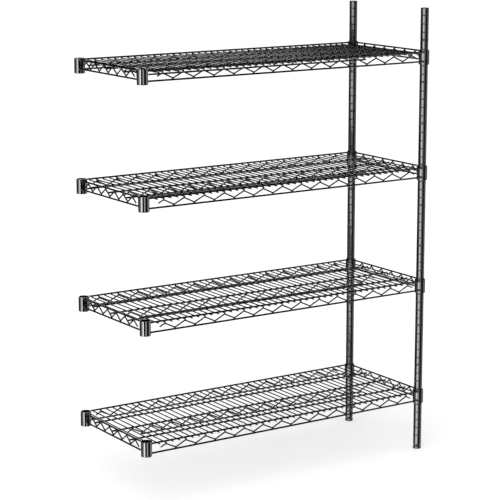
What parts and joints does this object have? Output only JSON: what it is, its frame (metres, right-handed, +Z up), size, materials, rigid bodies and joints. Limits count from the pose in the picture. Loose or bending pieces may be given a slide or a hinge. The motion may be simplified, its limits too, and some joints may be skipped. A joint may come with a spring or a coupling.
{
  "type": "wire shelving rack",
  "caption": "Add-on wire shelving rack: wire shelves with zigzag truss edges on grooved posts at one end and empty corner collars for a neighbour's posts at the other.",
  "frame": {"origin": "on the floor, midway between the four collar axes", "axes": "+X towards the posts, from left to right as seen from the front; front faces -Y; +Z up"},
  "size_m": [1.023, 0.394, 1.3886],
  "materials": {
    "black_epoxy": "gloss black epoxy coating on steel wire and tube",
    "black_plastic": "moulded black plastic",
    "foot": "dark coated steel"
  },
  "bodies": {
    "posts": {"front_post": "black_epoxy", "rear_post": "black_epoxy", "front_post_cap": "black_plastic", "rear_post_cap": "black_plastic", "front_post_insert": "black_plastic", "rear_post_insert": "black_plastic", "front_sleeve_1": "black_plastic", "front_sleeve_2": "black_plastic", "front_sleeve_3": "black_plastic", "front_sleeve_4": "black_plastic", "rear_sleeve_1": "black_plastic", "rear_sleeve_2": "black_plastic", "rear_sleeve_3": "black_plastic", "rear_sleeve_4": "black_plastic"},
    "shelf_1": {"left_collars_1": "black_epoxy", "right_collars_1": "black_epoxy", "front_truss_1": "black_epoxy", "rear_truss_1": "black_epoxy", "left_truss_1": "black_epoxy", "right_truss_1": "black_epoxy", "center_truss_1": "black_epoxy", "stringers_1": "black_epoxy", "deck_wires_1": "black_epoxy"},
    "shelf_2": {"left_collars_2": "black_epoxy", "right_collars_2": "black_epoxy", "front_truss_2": "black_epoxy", "rear_truss_2": "black_epoxy", "left_truss_2": "black_epoxy", "right_truss_2": "black_epoxy", "center_truss_2": "black_epoxy", "stringers_2": "black_epoxy", "deck_wires_2": "black_epoxy"},
    "shelf_3": {"left_collars_3": "black_epoxy", "right_collars_3": "black_epoxy", "front_truss_3": "black_epoxy", "rear_truss_3": "black_epoxy", "left_truss_3": "black_epoxy", "right_truss_3": "black_epoxy", "center_truss_3": "black_epoxy", "stringers_3": "black_epoxy", "deck_wires_3": "black_epoxy"},
    "shelf_4": {"left_collars_4": "black_epoxy", "right_collars_4": "black_epoxy", "front_truss_4": "black_epoxy", "rear_truss_4": "black_epoxy", "left_truss_4": "black_epoxy", "right_truss_4": "black_epoxy", "center_truss_4": "black_epoxy", "stringers_4": "black_epoxy", "deck_wires_4": "black_epoxy"},
    "front_foot": {"front_levelling_foot": "foot"},
    "rear_foot": {"rear_levelling_foot": "foot"}
  },
  "joints": [
    {"name": "shelf_1_lift", "type": "slide", "parent": "posts", "child": "shelf_1", "axis": [0, 0, 1], "range_m": [0, 0.3048]},
    {"name": "shelf_2_lift", "type": "slide", "parent": "posts", "child": "shelf_2", "axis": [0, 0, 1], "range_m": [0, 0.3048]},
    {"name": "shelf_3_lift", "type": "slide", "parent": "posts", "child": "shelf_3", "axis": [0, 0, 1], "range_m": [0, 0.3048]},
    {"name": "shelf_4_lift", "type": "slide", "parent": "posts", "child": "shelf_4", "axis": [0, 0, 1], "range_m": [0, 0.1524]},
    {"name": "front_foot_screw", "type": "slide", "parent": "posts", "child": "front_foot", "axis": [0, 0, -1], "range_m": [0, 0.019]},
    {"name": "rear_foot_screw", "type": "slide", "parent": "posts", "child": "rear_foot", "axis": [0, 0, -1], "range_m": [0, 0.019]}
  ]
}
